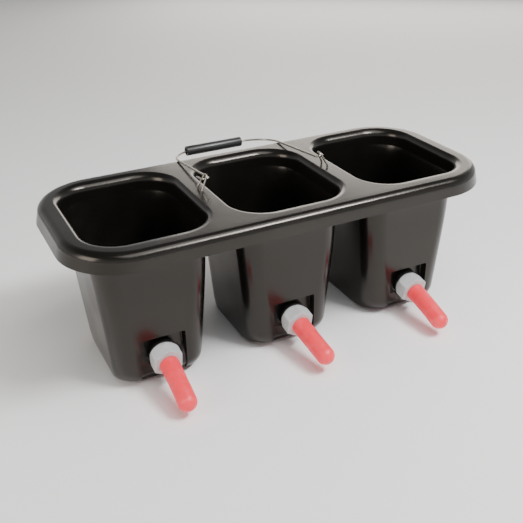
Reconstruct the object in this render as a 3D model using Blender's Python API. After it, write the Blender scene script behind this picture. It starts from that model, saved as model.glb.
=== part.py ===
"""Calf feeder trough: three moulded pots under one rim, a rubber teat on each, and a wire bail.

Run with: blender --background --python part.py
Units are metres, +Z up. The origin is the centre of the middle pot's base, +X runs along the
row of pots, and the teats point to -Y.
"""
import math

import bmesh
import bpy
from mathutils import Vector

MM = 0.001
GAP = 0.3 * MM                   # clearance between pieces that touch

# Rim and deck
RIM_LENGTH = 694.0 * MM          # at the lower edge of the skirt
RIM_WIDTH = 297.0 * MM
RIM_HEIGHT = 254.0 * MM
RIM_CORNER = 95.0 * MM
RIM_FILLET = 13.0 * MM
SKIRT_DEPTH = 27.0 * MM
SKIRT_FLARE_X = 3.5 * MM         # how far the skirt leans out, top to bottom, at each end
SKIRT_FLARE_Y = 1.0 * MM         # and along each side
WALL = 4.0 * MM

# Pots: outer sizes at the virtual sharp base and where the taper ends, and the extra flare
# that the sides, the front and the front corners take just below that. The lip is a quarter
# ellipse, with a different width at the sides, the front and the rear.
POT_PITCH = 220.0 * MM
POT_CENTRES = (-POT_PITCH, 0.0, POT_PITCH)
LIP_DEPTH = 13.0 * MM
LIP_SIDE = 9.0 * MM
LIP_FRONT = 20.0 * MM
LIP_REAR = 14.0 * MM
TAPER_TOP_Z = RIM_HEIGHT - 25.0 * MM
POT_HALF_X = (69.0 * MM, 88.5 * MM)
POT_FRONT_Y = (-92.0 * MM, -93.5 * MM)
POT_REAR_Y = (107.0 * MM, 118.0 * MM)
POT_FRONT_CORNER = (37.0 * MM, 27.0 * MM)
POT_REAR_CORNER = (50.0 * MM, 58.0 * MM)
SIDE_FLARE = 5.0 * MM
FRONT_FLARE = 14.0 * MM
FLARE_POWER = 16
CORNER_FLARE = 26.0 * MM
CORNER_FLARE_POWER = 8
BASE_RISE = 29.0 * MM            # height of the rounded foot of the wall
BASE_SIDE = 3.5 * MM             # how far the foot runs in at the sides and the rear
BASE_FRONT = 38.0 * MM           # how far the foot runs in at the front

# Recess for the teat fitting
POCKET_HALF_X = 36.0 * MM
POCKET_TOP_Z = 82.5 * MM
POCKET_FLOOR_Y = -79.0 * MM
PLUG_EMBED = 1.0 * MM            # keeps the plugs' outer faces inside the wall
CUT_OVER = 20.0 * MM             # how far cutters run past what they cut
CUT_SLIVER = 1.0 * MM            # the same where only a little room is free

# Teat fitting, measured along its own axis from the seat face, outwards
AXIS_TILT = math.radians(10.0)   # the fitting points this far below the horizontal
SEAT_Y = -85.9 * MM
SEAT_Z = 51.6 * MM
BOSS_RADIUS = 22.5 * MM
BOSS_INNER = -17.0 * MM
BORE_RADIUS = 16.6 * MM
GASKET_THICK = 2.0 * MM
GASKET_RADIUS = 21.0 * MM
STEM_RADIUS = 16.1 * MM          # threaded stem of the valve body
STEM_BORE = 10.0 * MM
STEM_END = 18.0 * MM
STEM_FLANGE_RADIUS = 22.0 * MM
STEM_FLANGE_THICK = 4.0 * MM
NUT_START = GAP + GASKET_THICK + GAP
NUT_END = 26.5 * MM
NUT_ACROSS_FLATS = 42.5 * MM
NUT_MOUTH = 13.0 * MM
NUT_MOUTH_DEPTH = 4.9 * MM
NUT_REAR_RADIUS = 20.8 * MM
NUT_CHAMFER = 7.0 * MM
NUT_STEPS = 24                   # points round the nut, four to each flat

# Non-return valve inside the stem
VALVE_FIT = 9.7 * MM             # outer radius of the two inserts in the stem's bore
SEAT_BORE = 4.8 * MM
SEAT_BEVEL = 1.2 * MM
SEAT_END = -7.0 * MM
BALL_RADIUS = 6.5 * MM
RETAINER_BORE = 5.3 * MM
RETAINER_START = 5.0 * MM
RETAINER_END = 8.0 * MM
BALL_CENTRE = RETAINER_START - math.sqrt(BALL_RADIUS ** 2 - RETAINER_BORE ** 2) - GAP

# Teat
TEAT_FLANGE_RADIUS = 16.0 * MM
TEAT_FLANGE_THICK = 3.0 * MM
TEAT_NECK = 12.7 * MM
TEAT_RADIUS = 14.8 * MM
TEAT_TIP_RADIUS = 14.4 * MM
TEAT_REACH = 70.9 * MM           # nut face to the centre of the round tip
TEAT_WALL = 4.0 * MM
TEAT_MOUTH = 8.5 * MM
TEAT_BEND_POWER = 1.6
TEAT_LEVELS = (22.0 * MM, 44.0 * MM)  # extra rings along the body, which let it bend
TEAT_HOLLOW_START = 6.0 * MM     # where the hollow reaches its full width
TEAT_TIP_STEPS = 5
TEAT_HOLLOW_STEPS = 3
STATIONS = {
    # name: (pot centre, sideways lean and lift of the tip's centre off the fitting's axis)
    "left": (-POT_PITCH, 0.0 * MM, -10.5 * MM),
    "middle": (0.0, 5.0 * MM, -5.7 * MM),
    "right": (POT_PITCH, 0.0 * MM, -7.4 * MM),
}

# Bail, its grip and its staples
HINGE_Y = 6.0 * MM
HINGE_Z = RIM_HEIGHT + 17.0 * MM
BAIL_WIRE = 1.75 * MM
BAIL_LEG_X = 93.8 * MM
BAIL_TAIL_X = 106.5 * MM
BAIL_TAIL = 18.0 * MM
BAIL_REACH = 182.0 * MM
BAIL_CORNER = 55.0 * MM
HOOK_BEND = 3.0 * MM
GRIP_LENGTH = 103.0 * MM
GRIP_RADIUS = 8.3 * MM
GRIP_BORE = 5.5 * MM
GRIP_X = -8.5 * MM
GRIP_REACH = BAIL_REACH - 1.7 * MM   # the grip hangs a little inside the bar's centreline
GRIP_EDGE = 0.8 * MM
BEND_STEPS = 6                   # rings round each bend of the bail
STAPLE_WIRE = 1.5 * MM
STAPLE_X = 109.0 * MM
STAPLE_TOP_X = 98.5 * MM
STAPLE_TOP_Z = RIM_HEIGHT + 23.0 * MM
STAPLE_TOP_HALF = 3.9 * MM
STAPLE_FOOT_HALF = 9.0 * MM
STAPLE_CLINCH = 8.0 * MM
STAPLE_KNEE_Z = RIM_HEIGHT + 3.0 * MM  # where the legs leave the deck and start to lean
STAPLE_BENDS = (1.6 * MM, 4.0 * MM, 3.2 * MM)  # at the clinch, the knee and the top
STAPLE_BEND_STEPS = 4

# Mesh fineness
CORNER_STEPS = 8
RIM_STEPS = 10
LIP_STEPS = 4
WALL_LEVELS = (1.0, 0.96, 0.88, 0.74)  # heights of the wall's rings, as parts of TAPER_TOP_Z
BASE_STEPS = 3
FITTING_SIDES = 20
WIRE_SIDES = 8


def clear_scene():
    for item in list(bpy.data.objects):
        bpy.data.objects.remove(item, do_unlink=True)


def make_material(name, colour, roughness, metallic=0.0):
    material = bpy.data.materials.new(name)
    material.use_nodes = True
    shader = material.node_tree.nodes["Principled BSDF"]
    shader.inputs["Base Color"].default_value = (*colour, 1.0)
    shader.inputs["Roughness"].default_value = roughness
    shader.inputs["Metallic"].default_value = metallic
    return material


def make_object(name, bm, material=None, parent=None, location=(0.0, 0.0, 0.0), sharp=30.0):
    """Turns a bmesh into a named object with outward faces, smooth except at sharp edges."""
    bmesh.ops.recalc_face_normals(bm, faces=bm.faces)
    mesh = bpy.data.meshes.new(name)
    bm.to_mesh(mesh)
    bm.free()
    mesh.shade_smooth()
    mesh.set_sharp_from_angle(angle=math.radians(sharp))
    item = bpy.data.objects.new(name, mesh)
    bpy.context.scene.collection.objects.link(item)
    item.location = location
    item.parent = parent
    if material:
        mesh.materials.append(material)
    return item


def make_empty(name, location, tilt):
    empty = bpy.data.objects.new(name, None)
    empty.location = location
    empty.rotation_euler = (tilt, 0.0, 0.0)
    bpy.context.scene.collection.objects.link(empty)
    return empty


def make_cutter(name, bm, parent=None):
    cutter = make_object(name, bm, parent=parent)
    cutter.hide_render = True
    cutter.display_type = "WIRE"
    return cutter


def add_boolean(item, other, operation):
    modifier = item.modifiers.new(other.name, "BOOLEAN")
    modifier.operation = operation
    modifier.object = other
    modifier.solver = "EXACT"


def mix(pair, part):
    return pair[0] + (pair[1] - pair[0]) * part


def add_ring(bm, points):
    return [bm.verts.new(point) for point in points]


def bridge(bm, ring, other):
    """Joins two closed rings of the same count with quads."""
    for index in range(len(ring)):
        after = (index + 1) % len(ring)
        bm.faces.new((ring[index], ring[after], other[after], other[index]))


def loft(bm, rings):
    for ring, other in zip(rings, rings[1:]):
        bridge(bm, ring, other)


def rounded_rectangle(centre_x, half_x, front_y, rear_y, front_corner, rear_corner, z, steps):
    """Points of a rounded rectangle in a level plane, counter-clockwise from above."""
    corners = (
        (centre_x + half_x - rear_corner, rear_y - rear_corner, rear_corner),
        (centre_x - half_x + rear_corner, rear_y - rear_corner, rear_corner),
        (centre_x - half_x + front_corner, front_y + front_corner, front_corner),
        (centre_x + half_x - front_corner, front_y + front_corner, front_corner),
    )
    points = []
    for quarter, (x, y, radius) in enumerate(corners):
        for step in range(steps + 1):
            angle = math.pi / 2 * (quarter + step / steps)
            points.append((x + radius * math.cos(angle), y + radius * math.sin(angle), z))
    return points


def pot_ring(centre_x, z, skin, lip=0.0, side_in=0.0, front_in=0.0):
    """One level ring of a pot wall, skin metres inside its outer face.

    lip is the share of the lip's width by which the ring is opened out: 1 at the deck.
    """
    part = min(z / TAPER_TOP_Z, 1.0)
    flare = part ** FLARE_POWER
    depth = WALL - skin
    side = (LIP_SIDE - depth) * lip
    front = (LIP_FRONT - depth) * lip
    rear = (LIP_REAR - depth) * lip
    front_corner = mix(POT_FRONT_CORNER, part) + CORNER_FLARE * part ** CORNER_FLARE_POWER
    return rounded_rectangle(
        centre_x,
        mix(POT_HALF_X, part) + SIDE_FLARE * flare - skin + side - side_in,
        mix(POT_FRONT_Y, part) - FRONT_FLARE * flare + skin - front + front_in,
        mix(POT_REAR_Y, part) - skin + rear - side_in,
        front_corner - skin + (side + front) / 2 - side_in,
        mix(POT_REAR_CORNER, part) - skin + (side + rear) / 2 - side_in,
        z,
        CORNER_STEPS,
    )


def pot_foot_rings(centre_x, skin):
    """Rings from the foot of the straight wall round to the flat base."""
    rings = []
    for step in range(BASE_STEPS + 1):
        angle = math.pi / 2 * step / BASE_STEPS
        run_in = 1.0 - math.cos(angle)
        z = BASE_RISE - (BASE_RISE - skin) * math.sin(angle)
        side_in = (BASE_SIDE - skin) * run_in
        front_in = (BASE_FRONT - skin) * run_in
        rings.append(pot_ring(centre_x, z, skin, 0.0, side_in, front_in))
    return rings


def pot_rings(centre_x, depth):
    """Rings of one pot from the deck down, depth metres under the top surface of the shell."""
    rings = []
    for step in range(LIP_STEPS + 1):
        angle = math.pi / 2 * step / LIP_STEPS
        z = RIM_HEIGHT - depth - (LIP_DEPTH - depth) * (1.0 - math.cos(angle))
        rings.append(pot_ring(centre_x, z, WALL - depth, 1.0 - math.sin(angle)))
    rings += [pot_ring(centre_x, TAPER_TOP_Z * level, WALL - depth) for level in WALL_LEVELS]
    return rings + pot_foot_rings(centre_x, WALL - depth)


def rim_rings(depth):
    """Rings of the rim from the edge of the deck over the fillet and down the skirt."""
    radius = RIM_FILLET - depth
    levels = []                  # (inset in x, inset in y, z)
    for step in range(LIP_STEPS + 1):
        angle = math.pi / 2 * step / LIP_STEPS
        inset = depth + radius * (1.0 - math.sin(angle))
        z = RIM_HEIGHT - depth - radius * (1.0 - math.cos(angle))
        levels.append((SKIRT_FLARE_X + inset, SKIRT_FLARE_Y + inset, z))
    levels.append((depth, depth, RIM_HEIGHT - SKIRT_DEPTH))
    rings = []
    for inset_x, inset_y, z in levels:
        half_x = RIM_LENGTH / 2 - inset_x
        half_y = RIM_WIDTH / 2 - inset_y
        corner = RIM_CORNER - inset_y
        rings.append(rounded_rectangle(0.0, half_x, -half_y, half_y, corner, corner, z, RIM_STEPS))
    return rings


def add_shell_side(bm, depth):
    """One side of the moulding: deck, pots and skirt. Returns the skirt's lowest ring."""
    outer = [add_ring(bm, points) for points in rim_rings(depth)]
    loft(bm, outer)
    deck_loops = [outer[0]]
    for centre_x in POT_CENTRES:
        rings = [add_ring(bm, points) for points in pot_rings(centre_x, depth)]
        loft(bm, rings)
        bm.faces.new(rings[-1])
        deck_loops.append(rings[0])
    edges = []
    for loop in deck_loops:
        for index in range(len(loop)):
            edges.append(bm.edges.get((loop[index - 1], loop[index])))
    bmesh.ops.triangle_fill(bm, use_beauty=True, edges=edges)
    return outer[-1]


def add_box(bm, low, high):
    """An axis-aligned box between two corners."""
    centre = [(a + b) / 2 for a, b in zip(low, high)]
    size = [b - a for a, b in zip(low, high)]
    made = bmesh.ops.create_cube(bm, size=1.0)
    bmesh.ops.scale(bm, vec=size, verts=made["verts"])
    bmesh.ops.translate(bm, vec=centre, verts=made["verts"])


def fitting_axis():
    return Vector((0.0, -math.cos(AXIS_TILT), -math.sin(AXIS_TILT)))


def seat_point(centre_x):
    return Vector((centre_x, SEAT_Y, SEAT_Z))


def add_cylinder(bm, start, end, radius, sides):
    """A capped cylinder between two points."""
    axis = (end - start).normalized()
    across = Vector((1.0, 0.0, 0.0)) if abs(axis.x) < 0.5 else Vector((0.0, 1.0, 0.0))
    side = axis.cross(across).normalized()
    across = side.cross(axis)
    rings = []
    for centre in (start, end):
        points = []
        for index in range(sides):
            angle = 2 * math.pi * index / sides
            points.append(centre + (across * math.cos(angle) + side * math.sin(angle)) * radius)
        rings.append(add_ring(bm, points))
    loft(bm, rings)
    bm.faces.new(rings[0])
    bm.faces.new(rings[1])


def make_recess_plugs():
    """Solid blocks that back each recess, trimmed to the inside of the pots' outer faces."""
    bm = bmesh.new()
    for centre_x in POT_CENTRES:
        half = POCKET_HALF_X + WALL
        low = (centre_x - half, POT_FRONT_Y[1] - CUT_OVER, -CUT_OVER)
        high = (centre_x + half, POCKET_FLOOR_Y + WALL, POCKET_TOP_Z + WALL)
        add_box(bm, low, high)
    plugs = make_cutter("recess_plugs", bm)
    bm = bmesh.new()
    for centre_x in POT_CENTRES:
        rings = [add_ring(bm, pot_ring(centre_x, POCKET_TOP_Z + CUT_OVER, PLUG_EMBED))]
        rings += [add_ring(bm, points) for points in pot_foot_rings(centre_x, PLUG_EMBED)]
        loft(bm, rings)
        bm.faces.new(rings[0])
        bm.faces.new(rings[-1])
    add_boolean(plugs, make_cutter("pot_cores", bm), "INTERSECT")
    return plugs


def make_recess_cutters():
    bm = bmesh.new()
    for centre_x in POT_CENTRES:
        low = (centre_x - POCKET_HALF_X, POT_FRONT_Y[1] - 2 * CUT_OVER, -2 * CUT_OVER)
        high = (centre_x + POCKET_HALF_X, POCKET_FLOOR_Y, POCKET_TOP_Z)
        add_box(bm, low, high)
    return make_cutter("recess_cutters", bm)


def make_bosses():
    bm = bmesh.new()
    for centre_x in POT_CENTRES:
        seat = seat_point(centre_x)
        add_cylinder(bm, seat + fitting_axis() * BOSS_INNER, seat, BOSS_RADIUS, 2 * FITTING_SIDES)
    return make_cutter("boss_blanks", bm)


def make_bores():
    """Cutters for the three teat bores and the four staple holes."""
    bm = bmesh.new()
    for centre_x in POT_CENTRES:
        seat = seat_point(centre_x)
        start = seat + fitting_axis() * (BOSS_INNER - CUT_OVER)
        end = seat + fitting_axis() * CUT_OVER
        add_cylinder(bm, start, end, BORE_RADIUS, FITTING_SIDES)
    for side in (-1, 1):
        for foot_y in staple_feet():
            foot = Vector((side * STAPLE_X, foot_y, RIM_HEIGHT))
            drop = Vector((0.0, 0.0, CUT_OVER / 2))
            add_cylinder(bm, foot - drop, foot + drop, STAPLE_WIRE + GAP, WIRE_SIDES)
    return make_cutter("bore_cutters", bm)


def make_trough_body(material):
    """The moulding: a single shell with three pots, a deck, a skirt and three recesses."""
    bm = bmesh.new()
    bridge(bm, add_shell_side(bm, 0.0), add_shell_side(bm, WALL))
    body = make_object("trough_body", bm, material)
    add_boolean(body, make_recess_plugs(), "UNION")
    add_boolean(body, make_recess_cutters(), "DIFFERENCE")
    add_boolean(body, make_bosses(), "UNION")
    add_boolean(body, make_bores(), "DIFFERENCE")
    return body


def add_lathe(bm, profile, sides):
    """Turns a closed profile of (radius, height) points round local Z."""
    rings = []
    for radius, height in profile:
        points = []
        for index in range(sides):
            angle = 2 * math.pi * index / sides
            points.append((radius * math.cos(angle), radius * math.sin(angle), height))
        rings.append(add_ring(bm, points))
    loft(bm, rings + rings[:1])


def make_ring(name, material, parent, inner, outer, start, end):
    bm = bmesh.new()
    add_lathe(bm, [(inner, start), (outer, start), (outer, end), (inner, end)], FITTING_SIDES)
    return make_object(name, bm, material, parent)


def add_hex_tube(bm, across_flats, bore, start, end):
    """A hexagonal tube with one corner up and a round bore."""
    rings = []
    for height in (start, end):
        outside = []
        inside = []
        for index in range(NUT_STEPS):
            turn = 2 * math.pi * index / NUT_STEPS
            angle = math.pi / 2 + turn
            off_flat = turn % (math.pi / 3) - math.pi / 6
            radius = across_flats / 2 / math.cos(off_flat)
            outside.append((radius * math.cos(angle), radius * math.sin(angle), height))
            inside.append((bore * math.cos(angle), bore * math.sin(angle), height))
        rings += [outside, inside] if height == start else [inside, outside]
    made = [add_ring(bm, points) for points in rings]
    loft(bm, [made[1], made[0], made[3], made[2], made[1]])


def make_cap_nut(name, material, parent):
    """The grey hexagonal nut: rear corners chamfered round, a wide cavity and a smaller mouth."""
    bm = bmesh.new()
    add_hex_tube(bm, NUT_ACROSS_FLATS, NUT_MOUTH, NUT_START, NUT_END)
    nut = make_object(name, bm, material, parent, sharp=20.0)
    corner_radius = NUT_ACROSS_FLATS / 2 / math.cos(math.pi / 6)
    over = CUT_SLIVER
    slope = (corner_radius - NUT_REAR_RADIUS) / NUT_CHAMFER
    bm = bmesh.new()
    add_lathe(bm, [
        (NUT_REAR_RADIUS - over * slope, NUT_START - over),
        (corner_radius + over * slope, NUT_START + NUT_CHAMFER + over),
        (corner_radius + CUT_OVER, NUT_START + NUT_CHAMFER + over),
        (corner_radius + CUT_OVER, NUT_START - over),
    ], FITTING_SIDES)
    add_boolean(nut, make_cutter(name + "_chamfer", bm, parent), "DIFFERENCE")
    bm = bmesh.new()
    cavity_end = Vector((0.0, 0.0, NUT_END - NUT_MOUTH_DEPTH))
    cavity_start = Vector((0.0, 0.0, NUT_START - over))
    add_cylinder(bm, cavity_start, cavity_end, STEM_RADIUS + GAP, FITTING_SIDES)
    add_boolean(nut, make_cutter(name + "_cavity", bm, parent), "DIFFERENCE")
    return nut


def make_valve_body(name, material, parent):
    """Threaded stem through the wall, with a flange that bears on the inside."""
    flange_end = BOSS_INNER - GAP - GASKET_THICK - GAP
    bm = bmesh.new()
    add_lathe(bm, [
        (STEM_BORE, flange_end - STEM_FLANGE_THICK),
        (STEM_FLANGE_RADIUS, flange_end - STEM_FLANGE_THICK),
        (STEM_FLANGE_RADIUS, flange_end),
        (STEM_RADIUS, flange_end),
        (STEM_RADIUS, STEM_END),
        (STEM_BORE, STEM_END),
    ], FITTING_SIDES)
    return make_object(name, bm, material, parent)


def make_valve_seat(name, material, parent):
    """Push-in tube whose bevelled outer end is the ball's seat."""
    start = BOSS_INNER - GASKET_THICK - STEM_FLANGE_THICK
    bm = bmesh.new()
    add_lathe(bm, [
        (SEAT_BORE, start),
        (VALVE_FIT, start),
        (VALVE_FIT, SEAT_END),
        (SEAT_BORE + SEAT_BEVEL, SEAT_END),
        (SEAT_BORE, SEAT_END - SEAT_BEVEL),
    ], FITTING_SIDES)
    return make_object(name, bm, material, parent)


def make_valve_ball(name, material, parent):
    bm = bmesh.new()
    bmesh.ops.create_uvsphere(bm, u_segments=12, v_segments=8, radius=BALL_RADIUS)
    return make_object(name, bm, material, parent, (0.0, 0.0, BALL_CENTRE))


def teat_spine(distance, lean, lift):
    """Centre and direction of the teat's centreline, which bends away from the nut's axis."""
    run = min(max(distance - NUT_END, 0.0), TEAT_REACH)
    part = run / TEAT_REACH
    bend = Vector((lean, lift, 0.0))
    centre = bend * part ** TEAT_BEND_POWER
    centre.z = min(distance, NUT_END + TEAT_REACH)
    slope = bend * TEAT_BEND_POWER * part ** (TEAT_BEND_POWER - 1.0) / TEAT_REACH
    direction = (slope + Vector((0.0, 0.0, 1.0))).normalized()
    beyond = max(distance - NUT_END - TEAT_REACH, 0.0)
    return centre + direction * beyond, direction


def teat_profile():
    """Closed profile of (radius, distance): rear face, flange, neck, body, tip, then the hollow."""
    rear = STEM_END + GAP
    shoulder = NUT_END + GAP
    tip_centre = NUT_END + TEAT_REACH
    profile = [
        (TEAT_MOUTH, rear),
        (TEAT_FLANGE_RADIUS, rear),
        (TEAT_FLANGE_RADIUS, rear + TEAT_FLANGE_THICK),
        (TEAT_NECK, rear + TEAT_FLANGE_THICK),
        (TEAT_NECK, shoulder),
        (TEAT_RADIUS, shoulder),
        (TEAT_RADIUS, shoulder + TEAT_LEVELS[0]),
        (TEAT_RADIUS, shoulder + TEAT_LEVELS[1]),
    ]
    for step in range(TEAT_TIP_STEPS):
        angle = math.pi / 2 * step / TEAT_TIP_STEPS
        distance = tip_centre + TEAT_TIP_RADIUS * math.sin(angle)
        profile.append((TEAT_TIP_RADIUS * math.cos(angle), distance))
    hollow = TEAT_TIP_RADIUS - TEAT_WALL
    inner = [
        (TEAT_MOUTH, shoulder),
        (hollow, shoulder + TEAT_HOLLOW_START),
        (hollow, shoulder + TEAT_LEVELS[1]),
    ]
    for step in range(TEAT_HOLLOW_STEPS):
        angle = math.pi / 2 * step / TEAT_HOLLOW_STEPS
        inner.append((hollow * math.cos(angle), tip_centre + hollow * math.sin(angle)))
    return profile, inner


def make_teat(name, material, parent, lean, lift):
    """A hollow rubber teat held by its flange, closed at its round tip."""
    outer_profile, inner_profile = teat_profile()
    bm = bmesh.new()

    def spine_ring(radius, distance):
        centre, direction = teat_spine(distance, lean, lift)
        across = (Vector((1.0, 0.0, 0.0)) - direction * direction.x).normalized()
        side = direction.cross(across)
        points = []
        for index in range(FITTING_SIDES):
            angle = 2 * math.pi * index / FITTING_SIDES
            points.append(centre + (across * math.cos(angle) + side * math.sin(angle)) * radius)
        return add_ring(bm, points)

    def add_end(ring, distance):
        point = bm.verts.new(teat_spine(distance, lean, lift)[0])
        for index in range(len(ring)):
            bm.faces.new((ring[index - 1], ring[index], point))

    outer = [spine_ring(radius, distance) for radius, distance in outer_profile]
    inner = [spine_ring(radius, distance) for radius, distance in inner_profile]
    loft(bm, outer)
    loft(bm, [outer[0]] + inner)
    tip_centre = NUT_END + TEAT_REACH
    add_end(outer[-1], tip_centre + TEAT_TIP_RADIUS)
    add_end(inner[-1], tip_centre + TEAT_TIP_RADIUS - TEAT_WALL)
    return make_object(name, bm, material, parent)


def make_station(side, centre_x, lean, lift, materials):
    """One teat fitting, from the non-return valve inside the pot out to the teat."""
    holder = make_empty("station_" + side, seat_point(centre_x), math.pi / 2 + AXIS_TILT)
    inner_face = BOSS_INNER - GAP
    bore = STEM_RADIUS + GAP
    make_teat("teat_" + side, materials["teat"], holder, lean, lift)
    make_cap_nut("cap_nut_" + side, materials["nut"], holder)
    make_valve_body("valve_body_" + side, materials["fitting"], holder)
    make_ring("outer_gasket_" + side, materials["gasket"], holder, bore, GASKET_RADIUS,
              GAP, GAP + GASKET_THICK)
    make_ring("inner_gasket_" + side, materials["inner_gasket"], holder, bore, GASKET_RADIUS,
              inner_face - GASKET_THICK, inner_face)
    make_valve_seat("valve_seat_" + side, materials["valve_seat"], holder)
    make_ring("ball_retainer_" + side, materials["retainer"], holder, RETAINER_BORE, VALVE_FIT,
              RETAINER_START, RETAINER_END)
    make_valve_ball("valve_ball_" + side, materials["valve_ball"], holder)


def rounded_path(corners, radii, steps):
    """A path through corner points, with each inner corner turned into an arc."""
    path = [corners[0]]
    for before, corner, after, radius in zip(corners, corners[1:], corners[2:], radii):
        back = (before - corner).normalized()
        ahead = (after - corner).normalized()
        half = back.angle(ahead) / 2
        centre = corner + (back + ahead).normalized() * radius / math.sin(half)
        start = (corner + back * radius / math.tan(half) - centre).normalized()
        end = (corner + ahead * radius / math.tan(half) - centre).normalized()
        path += [centre + start.slerp(end, step / steps) * radius for step in range(steps + 1)]
    path.append(corners[-1])
    return path


def add_tube(bm, path, radius, sides):
    """Sweeps a circle along a path and caps both ends."""
    across = Vector((0.3, 0.2, 1.0))
    rings = []
    for index, point in enumerate(path):
        tangent = (path[min(index + 1, len(path) - 1)] - path[max(index - 1, 0)]).normalized()
        across = (across - tangent * across.dot(tangent)).normalized()
        side = tangent.cross(across)
        points = []
        for step in range(sides):
            angle = 2 * math.pi * step / sides
            points.append(point + (across * math.cos(angle) + side * math.sin(angle)) * radius)
        rings.append(add_ring(bm, points))
    loft(bm, rings)
    bm.faces.new(rings[0])
    bm.faces.new(rings[-1])


def rest_slope():
    """Angle below the horizontal at which the bail's legs lie on the rear rim."""
    along = RIM_WIDTH / 2 - SKIRT_FLARE_Y - RIM_FILLET - HINGE_Y
    above = HINGE_Z - (RIM_HEIGHT - RIM_FILLET)
    clear = RIM_FILLET + BAIL_WIRE + GAP
    return math.acos(clear / math.hypot(along, above)) - math.atan2(along, above)


def make_bail(wire_material, grip_material):
    """Wire bail hooked through both staples, with a loose grip tube on its cross bar."""
    hinge = make_empty("bail_hinge", (0.0, HINGE_Y, HINGE_Z), -rest_slope())
    half = [
        Vector((BAIL_TAIL_X, BAIL_TAIL, 0.0)),
        Vector((BAIL_TAIL_X, 0.0, 0.0)),
        Vector((BAIL_LEG_X, 0.0, 0.0)),
        Vector((BAIL_LEG_X, BAIL_REACH, 0.0)),
    ]
    mirrored = [Vector((-point.x, point.y, 0.0)) for point in reversed(half)]
    bends = [HOOK_BEND, HOOK_BEND, BAIL_CORNER]
    path = rounded_path(half + mirrored, bends + bends[::-1], BEND_STEPS)
    bm = bmesh.new()
    add_tube(bm, path, BAIL_WIRE, WIRE_SIDES)
    make_object("bail_wire", bm, wire_material, hinge)
    axle = bpy.data.objects.new("grip_axis", None)
    axle.parent = hinge
    axle.location = (GRIP_X, GRIP_REACH, 0.0)
    axle.rotation_euler = (0.0, math.pi / 2, 0.0)
    bpy.context.scene.collection.objects.link(axle)
    end = GRIP_LENGTH / 2
    bm = bmesh.new()
    add_lathe(bm, [
        (GRIP_BORE, -end),
        (GRIP_RADIUS - GRIP_EDGE, -end),
        (GRIP_RADIUS, -end + GRIP_EDGE),
        (GRIP_RADIUS, end - GRIP_EDGE),
        (GRIP_RADIUS - GRIP_EDGE, end),
        (GRIP_BORE, end),
    ], FITTING_SIDES)
    make_object("handle_grip", bm, grip_material, axle)


def staple_feet():
    return (HINGE_Y - STAPLE_FOOT_HALF, HINGE_Y + STAPLE_FOOT_HALF)


def make_staple(name, side, material):
    """Wire eye that leans over the pot, with its feet through the deck and clinched below."""
    below = RIM_HEIGHT - WALL - GAP - STAPLE_WIRE
    corners = []
    for turn in (-1, 1):
        foot_y = HINGE_Y + turn * STAPLE_FOOT_HALF
        leg = [
            Vector((side * STAPLE_X, foot_y + turn * STAPLE_CLINCH, below)),
            Vector((side * STAPLE_X, foot_y, below)),
            Vector((side * STAPLE_X, foot_y, STAPLE_KNEE_Z)),
            Vector((side * STAPLE_TOP_X, HINGE_Y + turn * STAPLE_TOP_HALF, STAPLE_TOP_Z)),
        ]
        corners += leg if turn < 0 else leg[::-1]
    path = rounded_path(corners, STAPLE_BENDS + STAPLE_BENDS[::-1], STAPLE_BEND_STEPS)
    bm = bmesh.new()
    add_tube(bm, path, STAPLE_WIRE, WIRE_SIDES)
    return make_object(name, bm, material)


def build():
    clear_scene()
    moulding = make_material("moulded_black", (0.018, 0.017, 0.015), 0.32)
    galvanised = make_material("galvanised_wire", (0.62, 0.61, 0.58), 0.38, 1.0)
    staple_wire = make_material("staple_wire", (0.58, 0.57, 0.54), 0.42, 1.0)
    grip_black = make_material("grip_black", (0.020, 0.021, 0.021), 0.45)
    station_materials = {
        "teat": make_material("teat_rubber", (0.87, 0.13, 0.12), 0.42),
        "nut": make_material("nut_grey", (0.50, 0.51, 0.52), 0.45),
        "fitting": make_material("fitting_black", (0.022, 0.022, 0.022), 0.40),
        "gasket": make_material("gasket_black", (0.015, 0.015, 0.015), 0.70),
        "inner_gasket": make_material("inner_gasket_black", (0.017, 0.017, 0.017), 0.70),
        "retainer": make_material("retainer_white", (0.72, 0.72, 0.70), 0.40),
        "valve_seat": make_material("valve_seat_white", (0.75, 0.75, 0.72), 0.40),
        "valve_ball": make_material("valve_ball_white", (0.85, 0.85, 0.82), 0.25),
    }
    make_trough_body(moulding)
    make_bail(galvanised, grip_black)
    make_staple("staple_left", -1, staple_wire)
    make_staple("staple_right", 1, staple_wire)
    for side, (centre_x, lean, lift) in STATIONS.items():
        make_station(side, centre_x, lean, lift, station_materials)


build()
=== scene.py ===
import math

import bmesh
import bpy
from mathutils import Matrix, Vector


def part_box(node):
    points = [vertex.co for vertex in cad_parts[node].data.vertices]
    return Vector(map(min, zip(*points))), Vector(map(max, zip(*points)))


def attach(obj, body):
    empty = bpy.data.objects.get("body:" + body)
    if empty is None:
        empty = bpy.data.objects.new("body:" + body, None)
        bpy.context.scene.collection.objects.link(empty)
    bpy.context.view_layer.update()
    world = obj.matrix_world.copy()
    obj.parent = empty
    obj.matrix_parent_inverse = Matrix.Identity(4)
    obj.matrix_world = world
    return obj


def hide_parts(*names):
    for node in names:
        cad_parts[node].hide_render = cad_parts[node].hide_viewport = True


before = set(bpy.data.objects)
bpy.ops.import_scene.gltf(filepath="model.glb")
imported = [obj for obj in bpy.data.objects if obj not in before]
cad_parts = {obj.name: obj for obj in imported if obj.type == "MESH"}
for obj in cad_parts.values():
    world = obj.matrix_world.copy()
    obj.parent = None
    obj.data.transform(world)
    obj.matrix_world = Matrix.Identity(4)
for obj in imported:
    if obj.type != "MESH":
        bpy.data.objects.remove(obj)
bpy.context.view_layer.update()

MM = 0.001
GAP = 0.3 * MM

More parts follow.
